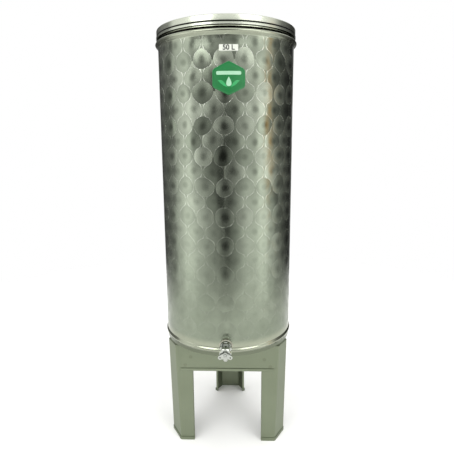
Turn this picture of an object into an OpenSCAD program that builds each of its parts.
// Fifty-litre stainless milk tank on a three-legged sheet-metal stand.
// Z is up, the floor is z = 0, and the tank's axis is the Z axis. The tap points to -Y.

/* [Tank] */
// Outside diameter of the tank wall
tank_d = 310; // [250:1:400]
// Height of the tank wall, from its lower rim to the curl at its mouth
tank_h = 717; // [500:1:950]
// Thickness of the tank wall
tank_wall = 1.0; // [0.6:0.1:2]
// How far the upper bead stands out of the wall
upper_bead_out = 6; // [2:0.5:9]
// Height of the upper bead along the wall
upper_bead_w = 18; // [12:1:24]
// From the mouth down to the middle of the upper bead
upper_bead_drop = 27; // [26:1:60]
// How far the lower bead stands out of the wall
lower_bead_out = 3; // [1:0.5:5]
// Height of the lower bead along the wall
lower_bead_w = 14; // [8:1:18]
// From the lower rim up to the middle of the lower bead
lower_bead_rise = 14; // [10:1:24]
// Radius of the rolled curl at the mouth
curl_r = 1.4; // [1:0.1:2]
// Thickness of the bottom plate
bottom_sheet = 1.0; // [0.8:0.1:2]
// Height of the bottom plate's underside above the tank's lower rim
bottom_rise = 4; // [3:0.5:5]
// Bend radius between the bottom plate and its skirt, on the outside
bottom_bend = 2.6; // [2:0.2:3.2]

/* [Lid] */
// Thickness of the lid sheet
lid_sheet = 0.8; // [0.6:0.1:1]
// Gap between the curl and the narrowest part of the lid's skirt
lid_gap = 0.3; // [0.2:0.1:1]
// Height of the lid's skirt, from its top edge to its hem
lid_skirt_h = 19; // [15:1:19]
// Depth of the groove round the skirt
lid_groove = 0.8; // [0.4:0.1:1.2]
// How far the hem stands out of the skirt
lid_hem_out = 0.8; // [0.4:0.1:1.5]
// How far the flat middle of the lid lies below its top edge
lid_sink = 4; // [3:0.5:6]
// Thickness of the seal in the lid's channel
lid_seal_t = 2; // [1.5:0.1:3]
// Length of the lid's handle over its feet
lid_handle_l = 130; // [110:1:150]
// Width of the handle strap
lid_handle_w = 24; // [18:1:30]
// Thickness of the handle strap
lid_handle_t = 2; // [1.5:0.5:3]
// Height of the handle's underside above the lid
lid_handle_rise = 26; // [22:1:32]
// Radius of each rivet's shank
rivet_r = 2; // [1.5:0.25:2.5]

/* [Tap] */
// Height of the tap's axis above the tank's lower rim
tap_rise = 25; // [20:1:60]
// Wall of the sleeve that is welded through the tank wall
socket_wall = 3.1; // [2:0.1:5]
// How far the sleeve reaches into the tank
socket_in = 8; // [5:1:12]
// How far the sleeve stands out of the tank
socket_out = 7; // [5:1:12]
// Radius of the tap's threaded shank
thread_r = 10.4; // [9.5:0.1:11]
// Thickness of the sealing washer
washer_t = 1.5; // [1:0.25:2]
// How far the flats of the tap's hexagon collar stand out past the shank
collar_step = 1.6; // [1:0.1:3]
// Length of the hexagon collar
collar_l = 6; // [4:0.5:8]
// Wall of the tap's barrel round the plug
barrel_wall = 3; // [2.5:0.1:4]
// Radius of the turning plug
plug_r = 7; // [6:0.25:7.5]
// Length of the plug on each side of its port, which carries a seal ring
ring_land = 6.8; // [6:0.2:9]
// Radius of the water way through the plug and its port
bore_r = 3.8; // [3:0.1:4.2]
// Wall of the spout tube
spout_wall = 1.2; // [1:0.1:1.5]
// How far the spout reaches below the barrel
spout_reach = 11; // [6:1:30]
// Thickness of the handle
key_t = 5; // [4:0.5:7]
// Sideways reach of each handle lobe
key_reach = 11; // [10:0.5:18]
// How far each lobe droops below the tap's axis
key_droop = 5; // [0:0.5:6]
// Radius of each lobe
key_lobe_r = 4.8; // [4:0.2:6]

/* [Stand] */
// Height of the seat that carries the tank
seat_h = 258; // [180:1:400]
// How far the heads of the legs stand out past the tank wall
seat_out = 1.5; // [1:0.1:3]
// How much further out the head of each leg is than its foot
leg_lean = 6.4; // [0:0.2:8]
// Width of each leg's outer face at the foot
leg_web_w = 52; // [46:1:64]
// Width of each leg's two side faces at the foot
leg_flange_w = 34; // [28:1:38]
// Depth of the stiffening lip along each side face
leg_lip = 7; // [5:1:10]
// Thickness of the leg sheet
leg_sheet = 1.5; // [1:0.25:2.5]
// Bend radius of the legs, on the outside
leg_bend = 4; // [3:0.5:6]
// Depth of the seat tab at the head of each leg
seat_tab = 22; // [16:1:26]
// Height of the aprons between the legs
apron_h = 68.5; // [50:0.5:110]
// Thickness of the apron sheet
apron_sheet = 1.2; // [1:0.1:2]
// Depth of the aprons' top flange
apron_flange = 18; // [12:1:24]
// Height of the folded hem along the bottom of each apron
apron_hem = 7; // [5:0.5:10]
// Height of the band round the foot of each leg
foot_band_h = 8; // [5:1:14]
// Thickness of the foot band
foot_band_t = 1; // [0.8:0.1:2]

/* [Labels] */
// Width of the badge
badge_w = 66; // [50:1:90]
// Height of the badge
badge_h = 64; // [50:1:80]
// Height of the badge's middle below the tank's mouth
badge_drop = 116.5; // [90:1:200]
// Angle round the wall from the front to the middle of the badge and the label
badge_turn = 4; // [-20:1:20]
// Width of the capacity label
label_w = 38; // [30:1:60]
// Height of the capacity label
label_h = 12; // [10:1:16]
// Height of the label's middle below the tank's mouth
label_drop = 59; // [46:1:70]
// Thickness of the badge and of the label
label_t = 0.5; // [0.3:0.1:1]

/* [Fits] */
// Clearance round a fixed piece in its hole
fit_gap = 0.05; // [0.02:0.01:0.1]
// Radial clearance of a turning piece
run_gap = 0.05; // [0.02:0.01:0.1]
// Clearance under a piece that rests on another
rest_gap = 0.2; // [0.1:0.05:0.3]

/* [Hidden] */
$fn = 96;
ARC_STEPS = 6;
BEAD_STEPS = 20;
HEM_STEPS = 10;
LOBE_STEPS = 16;
SMALL_FN = 24;
// How far a cutting shape runs past the face that it cuts
cut = 1;
tank_r = tank_d / 2;
rim_z = seat_h + rest_gap;
mouth_z = rim_z + tank_h;
inner_r = tank_r - tank_wall;
skirt_r = inner_r - fit_gap;
bottom_z = rim_z + bottom_rise;
near_axis = 0.01;

// The lid is built outwards from the curl and upwards from the seal.
curl_shift = 0.4;
curl_mid_r = inner_r + curl_shift;
curl_out_r = curl_mid_r + curl_r;
lid_r = curl_out_r + lid_gap + lid_groove + lid_sheet;
seal_z = mouth_z + rest_gap;
lid_z = seal_z + lid_seal_t + fit_gap + lid_sheet;
lid_flat_z = lid_z - lid_sink;
lid_flat_margin = 12;
lid_flat_r = lid_handle_l / 2 + lid_flat_margin;
lid_channel = 6;
lid_step_r = inner_r - lid_channel;
lid_step_run = 1;
lid_step_bend = 1.4;
lid_edge_w = 4;
lid_crown = 2.5;
lid_edge_z = lid_flat_z - lid_crown;
lid_bend = 2.4;
// Heights above the hem's edge where the skirt bends into and out of its groove
skirt_turns = [7.2, 6.6, 5.2, 4.2];
skirt_bend = 0.5;
seal_side_gap = 1;
handle_foot = 20;
handle_run = 12;
handle_bend = 8;
rivet_x = lid_handle_l / 2 - handle_foot / 2;
rivet_y = lid_handle_w / 4;
rivet_head_r = rivet_r + 1.6;
rivet_tail_r = rivet_r + 1.2;
rivet_head_t = 1.3;

// Stations along the tap, measured outwards from the tank wall.
tap_z = rim_z + tap_rise;
socket_r = thread_r + socket_wall;
collar_af = 2 * (thread_r + collar_step);
barrel_r = plug_r + barrel_wall;
spout_r = bore_r + spout_wall;
spout_drop = barrel_r + spout_reach;
spout_seat = 0.4;
spout_chamfer = 0.6;
shank_u = socket_out + washer_t;
collar_u = shank_u + collar_l;
inlet_wall = 2;
plug_u0 = collar_u + inlet_wall;
port_u = plug_u0 + ring_land + bore_r;
plug_u1 = port_u + bore_r + ring_land;
end_gap = 0.1;
gland_wall = 2;
barrel_u = plug_u1 - gland_wall;
gland_u0 = port_u + spout_r + 1;
gland_u1 = plug_u1 + end_gap + gland_wall;
gland_af = 2 * barrel_r + 4;
gland_chamfer = 1.5;
gland_face_r = gland_af / 2 - 0.5;
key_gap = 1;
key_u = gland_u1 + key_gap;
key_end_u = key_u + key_t;
stem_r = 4;
stem_square = 5;
stem_gap = 0.5;
stem_short = 0.3;
screw_r = 1.5;
screw_l = 9;
screw_head_r = 3.6;
screw_head_t = 2.4;
screw_chamfer = 0.9;
lock_washer_t = 0.8;
lock_washer_r = 4.4;
inlet_r = plug_r - 1.5;
groove_off = 3;
groove_w = 1.6;
groove_d = 1.5;
ring_r = 0.72;
hex_to_round = 2 / sqrt(3);

// The legs stand at the corners of a triangle and lean outwards to the tank's rim.
LEG_TURN = 60;
head_x = tank_r + seat_out;
foot_x = head_x - leg_lean;
side_x = foot_x * cos(LEG_TURN) + leg_web_w / 2 * sin(LEG_TURN);
leg_top = seat_h - leg_bend;
// Height of the straight band at the head of a leg, where its seat tab starts
head_band = 1;
// Kept between the ends of an apron and the bends and tabs of the legs
apron_end_gap = 2;
side_half = (foot_x - side_x * cos(LEG_TURN)) / sin(LEG_TURN);
apron_half = side_half - leg_bend * tan(LEG_TURN / 2) - apron_end_gap;
flange_half = (head_x - seat_tab - apron_end_gap - side_x * cos(LEG_TURN)) / sin(LEG_TURN);
apron_bend = 4;
hem_gap = 0.4;
hem_r = (2 * apron_sheet + hem_gap) / 2;

// ---- outline functions ----

function unit(v) = v / norm(v);
function left_of(v) = [-v[1], v[0]];
function backwards(p) = [for (i = [len(p) - 1:-1:0]) p[i]];

// Points of an arc about c, from angle a0 to a1
function arc(c, r, a0, a1, steps = ARC_STEPS) =
    [for (i = [0:steps]) let (a = a0 + (a1 - a0) * i / steps) c + r * [cos(a), sin(a)]];

// The arc that rounds corner q of the path p, q, s
function fillet(p, q, s, r) =
    let (
        u = unit(p - q),
        v = unit(s - q),
        half = acos(u * v) / 2,
        c = q + unit(u + v) * r / sin(half),
        from = q + u * r / tan(half) - c,
        to = q + v * r / tan(half) - c,
        a0 = atan2(from[1], from[0]),
        turn = atan2(from[0] * to[1] - from[1] * to[0], from * to)
    )
    arc(c, r, a0, a0 + turn);

// An open path whose inner corners are all rounded to radius r
function rounded(path, r) = [
    path[0],
    for (i = [1:len(path) - 2]) each fillet(path[i - 1], path[i], path[i + 1], r),
    path[len(path) - 1]
];

// The path moved sideways by t: to its left where t is positive
function beside(path, t) = [
    for (i = [0:len(path) - 1])
        let (
            before = i == 0 ? path[1] - path[0] : path[i] - path[i - 1],
            after = i == len(path) - 1 ? before : path[i + 1] - path[i],
            n0 = left_of(unit(before)),
            n1 = left_of(unit(after))
        )
        path[i] + (n0 + n1) / (1 + n0 * n1) * t
];

// A sheet of thickness t that lies along the path
function sheet_outline(path, t) = concat(path, backwards(beside(path, t)));

// A round-ended link between two circles
function link_outline(p, rp, q, rq) =
    let (
        along = atan2(q[1] - p[1], q[0] - p[0]),
        lean = acos((rp - rq) / norm(q - p))
    )
    concat(arc(p, rp, along + lean, along + 360 - lean, LOBE_STEPS),
           arc(q, rq, along - lean, along + lean, LOBE_STEPS));

// How far a bead stands out at a distance d from its middle
function bead(d, out, w) = abs(d) < w / 2 ? out * (1 + cos(360 * d / w)) / 2 : 0;

function bead_path(mid, out, w) = [
    for (i = [0:BEAD_STEPS])
        let (d = w * (i / BEAD_STEPS - 0.5))
        [tank_r + bead(d, out, w), mid + d]
];

// ---- placing modules ----

// Turns the tap's own frame, X right, Y up and Z outwards, to its place on the tank wall
module at_tap() {
    translate([0, -tank_r, tap_z]) rotate([90, 0, 0]) children();
}

// A tube or rod along the tap's axis between two stations
module tap_rod(r, u0, u1) {
    translate([0, 0, u0]) cylinder(r = r, h = u1 - u0);
}

module tap_hex(across_flats, u0, u1) {
    translate([0, 0, u0])
        cylinder(r = across_flats / 2 * hex_to_round, h = u1 - u0, $fn = 6);
}

// Extrudes a Y-Z outline along X, centred
module along_x(length, outline) {
    translate([-length / 2, 0, 0])
        rotate([90, 0, 90]) linear_extrude(length) polygon(outline);
}

// A patch of the outline, of label thickness, bent round the tank wall and turned badge_turn from -Y
module wall_patch(z, outline) {
    r = tank_r + fit_gap;
    rotate([0, 0, badge_turn]) intersection() {
        difference() {
            translate([0, 0, z - badge_h]) cylinder(r = r + label_t, h = 2 * badge_h);
            translate([0, 0, z - badge_h - cut]) cylinder(r = r, h = 2 * (badge_h + cut));
        }
        translate([0, 0, z]) rotate([90, 0, 0]) linear_extrude(r + label_t + cut) polygon(outline);
    }
}

// ---- tank ----

module tank_shell() {
    lower = rim_z + lower_bead_rise;
    upper = mouth_z - upper_bead_drop;
    wall = concat(
        [[tank_r, rim_z]],
        bead_path(lower, lower_bead_out, lower_bead_w),
        bead_path(upper, upper_bead_out, upper_bead_w),
        [[tank_r, mouth_z - curl_r]]
    );
    color("silver") difference() {
        union() {
            rotate_extrude() polygon(sheet_outline(wall, tank_wall));
            rotate_extrude() translate([curl_mid_r, mouth_z - curl_r]) circle(curl_r, $fn = SMALL_FN);
        }
        at_tap() tap_rod(socket_r + fit_gap, -socket_in, socket_out);
    }
}

module tank_bottom() {
    top = bottom_z + bottom_sheet;
    plate = rounded([[near_axis, top], [skirt_r, top], [skirt_r, rim_z]], bottom_bend);
    outline = concat([[0, top]], plate, backwards(beside(plate, -bottom_sheet)), [[0, bottom_z]]);
    color("silver") rotate_extrude() polygon(outline);
}

module capacity_label() {
    corner = 1.5;
    x = label_w / 2 - corner;
    y = label_h / 2 - corner;
    outline = concat(arc([x, y], corner, 0, 90), arc([-x, y], corner, 90, 180),
                     arc([-x, -y], corner, 180, 270), arc([x, -y], corner, 270, 360));
    color("white") wall_patch(mouth_z - label_drop, outline);
}

// A hexagon that stands on a point, with rounded corners
module badge_plate() {
    corner = 9;
    x = badge_w / 2 - corner;
    y = badge_h / 2 - corner;
    middles = [[x, y / 2], [0, y], [-x, y / 2], [-x, -y / 2], [0, -y], [x, -y / 2]];
    outline = [for (i = [0:5]) each arc(middles[i], corner, 60 * i, 60 * i + 60)];
    color("green") wall_patch(mouth_z - badge_drop, outline);
}

// ---- lid ----

module lid_shell() {
    hem_z = lid_z - lid_skirt_h;
    in_r = lid_r - lid_groove;
    out_r = lid_r + lid_hem_out;
    corner = lid_r - lid_bend;
    step = rounded([[lid_step_r - lid_edge_w, lid_edge_z], [lid_step_r, lid_edge_z],
                    [lid_step_r + lid_step_run, lid_z], [corner - lid_step_run / 2, lid_z]],
                   lid_step_bend);
    edge = arc([corner, lid_z - lid_bend], lid_bend, 90, 0);
    turns = [for (h = skirt_turns) hem_z + h];
    skirt = rounded([[lid_r, turns[0] + lid_sheet], [lid_r, turns[0]], [in_r, turns[1]], [in_r, turns[2]],
                     [out_r, turns[3]], [out_r, hem_z]], skirt_bend);
    path = concat([[0, lid_flat_z], [lid_flat_r, lid_flat_z]], step, edge, skirt);
    color("silver") difference() {
        rotate_extrude() polygon(sheet_outline(path, -lid_sheet));
        rivet_places() cylinder(r = rivet_r + fit_gap, h = 4 * lid_sheet, center = true);
    }
}

module lid_seal() {
    inner = lid_step_r + lid_step_run + lid_sheet + seal_side_gap;
    outer = lid_r - lid_bend;
    color("dimgray") rotate_extrude()
        translate([inner, seal_z]) square([outer - inner, lid_seal_t]);
}

module rivet_places() {
    for (sx = [-1, 1], sy = [-1, 1])
        translate([sx * rivet_x, sy * rivet_y, lid_flat_z]) children();
}

module lid_handle() {
    half = lid_handle_l / 2;
    top = lid_handle_rise;
    path = rounded([[-half, 0], [-half + handle_foot, 0], [-half + handle_foot + handle_run, top],
                    [half - handle_foot - handle_run, top], [half - handle_foot, 0], [half, 0]], handle_bend);
    color("silver") difference() {
        translate([0, lid_handle_w / 2, lid_flat_z + fit_gap])
            rotate([90, 0, 0]) linear_extrude(lid_handle_w)
                polygon(sheet_outline(path, lid_handle_t));
        rivet_places() cylinder(r = rivet_r + fit_gap, h = 4 * lid_handle_t, center = true);
    }
}

module lid_handle_rivets() {
    head_z = lid_handle_t + 2 * fit_gap;
    tail_z = lid_sheet + fit_gap;
    color("silver") rivet_places() {
        translate([0, 0, -tail_z]) cylinder(r = rivet_r, h = tail_z + head_z);
        translate([0, 0, head_z]) cylinder(r1 = rivet_head_r, r2 = rivet_r, h = rivet_head_t);
        translate([0, 0, -tail_z - rivet_head_t])
            cylinder(r1 = rivet_r, r2 = rivet_tail_r, h = rivet_head_t);
    }
}

// ---- tap ----

module tap_socket() {
    color("silver") at_tap() difference() {
        tap_rod(socket_r, -socket_in, socket_out);
        tap_rod(thread_r + fit_gap, -socket_in - cut, socket_out + cut);
    }
}

module tap_washer() {
    color("white") at_tap() difference() {
        tap_rod(collar_af / 2, socket_out, shank_u);
        tap_rod(thread_r + fit_gap, socket_out - cut, shank_u + cut);
    }
}

module tap_body() {
    color("silver") at_tap() difference() {
        union() {
            tap_rod(thread_r, -socket_in, shank_u);
            tap_hex(collar_af, shank_u, collar_u);
            tap_rod(barrel_r, collar_u, barrel_u);
        }
        tap_rod(inlet_r, -socket_in - cut, plug_u0);
        tap_rod(plug_r + run_gap, plug_u0 - run_gap, barrel_u + cut);
        translate([0, 0, port_u]) rotate([90, 0, 0]) cylinder(r = spout_r + fit_gap, h = barrel_r + cut);
    }
}

module tap_spout() {
    top = plug_r + run_gap + spout_seat;
    chamfer_u = spout_drop - spout_chamfer;
    color("silver") at_tap() translate([0, 0, port_u]) rotate([90, 0, 0]) difference() {
        union() {
            translate([0, 0, top]) cylinder(r = spout_r, h = chamfer_u - top);
            translate([0, 0, chamfer_u])
                cylinder(r1 = spout_r, r2 = spout_r - spout_chamfer, h = spout_chamfer);
        }
        translate([0, 0, top - cut]) cylinder(r = bore_r, h = spout_drop);
    }
}

module gland_nut() {
    color("silver") at_tap() difference() {
        intersection() {
            tap_hex(gland_af, gland_u0, gland_u1);
            union() {
                tap_rod(gland_af, gland_u0 - cut, gland_u1 - gland_chamfer);
                translate([0, 0, gland_u1 - gland_chamfer])
                    cylinder(r1 = gland_face_r + gland_chamfer, r2 = gland_face_r, h = gland_chamfer);
            }
        }
        tap_rod(barrel_r + fit_gap, gland_u0 - cut, gland_u1 - gland_wall);
        tap_rod(stem_r + run_gap, gland_u0, gland_u1 + cut);
    }
}

module tap_plug() {
    color("silver") at_tap() difference() {
        union() {
            tap_rod(plug_r, plug_u0, plug_u1);
            tap_rod(stem_r, plug_u1, key_u - stem_gap);
            intersection() {
                tap_rod(stem_r, plug_u1, key_end_u - stem_short);
                translate([-stem_square / 2, -stem_square / 2, key_u - key_gap])
                    cube([stem_square, stem_square, key_gap + key_t]);
            }
        }
        tap_rod(bore_r, plug_u0 - cut, port_u + bore_r);
        translate([0, 0, port_u]) rotate([0, 90, 0]) cylinder(r = bore_r, h = plug_r + cut);
        for (u = o_ring_places()) difference() {
            tap_rod(plug_r + cut, u - groove_w / 2, u + groove_w / 2);
            tap_rod(plug_r - groove_d, u - groove_w, u + groove_w);
        }
        tap_rod(screw_r + fit_gap, key_end_u - screw_l - cut, key_end_u + cut);
    }
}

function o_ring_places() = [port_u - bore_r - groove_off, port_u + bore_r + groove_off];

module plug_o_rings() {
    color("dimgray") at_tap() for (u = o_ring_places())
        translate([0, 0, u]) rotate_extrude()
            translate([plug_r - ring_r, 0]) circle(ring_r, $fn = SMALL_FN);
}

module tap_handle() {
    hub_r = 6.2;
    neck_r = 5.4;
    hole_r = 1.8;
    lobe_t = key_t - 1.4;
    square_half = stem_square / 2 + fit_gap;
    color("silver") at_tap() translate([0, 0, key_u]) difference() {
        union() {
            cylinder(r = hub_r, h = key_t);
            for (side = [-1, 1])
                linear_extrude(lobe_t)
                    polygon(link_outline([0, 0], neck_r, [side * key_reach, -key_droop], key_lobe_r));
        }
        translate([-square_half, -square_half, -cut])
            cube([2 * square_half, 2 * square_half, key_t + 2 * cut]);
        for (side = [-1, 1])
            translate([side * key_reach, -key_droop, -cut]) cylinder(r = hole_r, h = key_t + 2 * cut);
    }
}

module handle_washer() {
    color("silver") at_tap() difference() {
        tap_rod(lock_washer_r, key_end_u, key_end_u + lock_washer_t);
        tap_rod(screw_r + fit_gap, key_end_u - cut, key_end_u + lock_washer_t + cut);
    }
}

module handle_screw() {
    head_u = key_end_u + lock_washer_t;
    slot_w = 1;
    slot_d = 1.2;
    color("silver") at_tap() difference() {
        union() {
            tap_rod(screw_r, head_u - screw_l, head_u);
            tap_rod(screw_head_r, head_u, head_u + screw_head_t / 2);
            translate([0, 0, head_u + screw_head_t / 2])
                cylinder(r1 = screw_head_r, r2 = screw_head_r - screw_chamfer, h = screw_head_t / 2);
        }
        translate([-screw_head_r - cut, -slot_w / 2, head_u + screw_head_t - slot_d])
            cube([2 * (screw_head_r + cut), slot_w, slot_d + cut]);
    }
}

// ---- stand ----

// Half the width of a leg's outer face where that face is x from the tank's axis
function web_half(x) = (side_x - x * cos(LEG_TURN)) / sin(LEG_TURN);

// The leg's outer face in plan, from lip to lip, in a frame whose X points out through the leg.
// The side faces stay in their planes and keep their free edges, wherever the outer face is.
function leg_corners(x) =
    let (
        corner = [x, web_half(x)],
        end = [foot_x, web_half(foot_x)] + leg_flange_w * [-sin(LEG_TURN), cos(LEG_TURN)],
        tip = end - leg_lip * [cos(LEG_TURN), sin(LEG_TURN)],
        upper = [tip, end, corner]
    )
    concat(upper, [for (p = backwards(upper)) [p[0], -p[1]]]);

function leg_plan(x) = rounded(leg_corners(x), leg_bend);

// A bent sheet whose sheet outlines, as many points each, lie at the given heights.
// Point i of an outline lies across the sheet from point n - 1 - i, so the ends are strips.
module ruled_sheet(outlines, heights) {
    n = len(outlines[0]);
    last = len(outlines) - 1;
    points = [for (k = [0:last], p = outlines[k]) [p[0], p[1], heights[k]]];
    sides = [
        for (k = [0:last - 1], i = [0:n - 1])
            let (j = (i + 1) % n)
            each [[k * n + i, k * n + n + j, k * n + n + i], [k * n + i, k * n + j, k * n + n + j]]
    ];
    strip = [for (i = [0:n / 2 - 2]) each [[i, i + 1, n - 2 - i], [i, n - 2 - i, n - 1 - i]]];
    low_end = [for (t = strip) backwards(t)];
    high_end = [for (t = strip) [for (i = t) last * n + i]];
    polyhedron(points, concat(sides, low_end, high_end));
}

module leg(angle) {
    head_z = leg_top - head_band;
    top_x = foot_x + leg_lean * head_z / seat_h;
    foot = sheet_outline(leg_plan(foot_x), -leg_sheet);
    head = sheet_outline(leg_plan(top_x), -leg_sheet);
    tab_w = 2 * web_half(head_x) - 2 * leg_bend;
    tab = rounded([[0, head_z], [0, seat_h], [seat_tab, seat_h]], leg_bend);
    color("darkgray") rotate(angle) {
        ruled_sheet([foot, head, head], [0, head_z, leg_top]);
        translate([top_x, 0, 0]) rotate(90) along_x(tab_w, sheet_outline(tab, -leg_sheet));
    }
}

// A strip round the outside of a leg's foot, as wide as the leg's three faces
module foot_band(angle) {
    inside = beside(rounded([for (i = [1:4]) leg_corners(foot_x)[i]], leg_bend), fit_gap);
    lean = leg_lean * foot_band_h / seat_h;
    color("darkgray") rotate(angle) translate([lean, 0, 0])
        linear_extrude(foot_band_h) polygon(sheet_outline(inside, foot_band_t));
}

// Closes one side of the stand: its inner face lies on the legs' side faces
module apron(angle) {
    low = seat_h - apron_h;
    front = -2 * hem_r;
    hem = concat([[front, low + apron_hem]], arc([-hem_r, low + hem_r], hem_r, 180, 360, HEM_STEPS));
    panel = concat(hem, [[0, seat_h - apron_bend]]);
    top = seat_h - apron_sheet;
    folded = concat(hem, fillet([0, low], [0, top], [apron_flange, top], apron_bend - apron_sheet),
                    [[apron_flange, top]]);
    color("darkgray") rotate(angle - 90) translate([0, side_x + fit_gap, 0]) rotate(180) {
        along_x(2 * apron_half, sheet_outline(panel, apron_sheet));
        along_x(2 * flange_half, sheet_outline(folded, apron_sheet));
    }
}

module leg_front_left() { leg(210); }
module leg_front_right() { leg(330); }
module leg_rear() { leg(90); }
module apron_front() { apron(270); }
module apron_left() { apron(150); }
module apron_right() { apron(30); }
module foot_band_front_left() { foot_band(210); }
module foot_band_front_right() { foot_band(330); }
module foot_band_rear() { foot_band(90); }

tank_shell();
tank_bottom();
capacity_label();
badge_plate();
lid_shell();
lid_seal();
lid_handle();
lid_handle_rivets();
tap_socket();
tap_washer();
tap_body();
tap_spout();
gland_nut();
tap_plug();
plug_o_rings();
tap_handle();
handle_washer();
handle_screw();
leg_front_left();
leg_front_right();
leg_rear();
apron_front();
apron_left();
apron_right();
foot_band_front_left();
foot_band_front_right();
foot_band_rear();
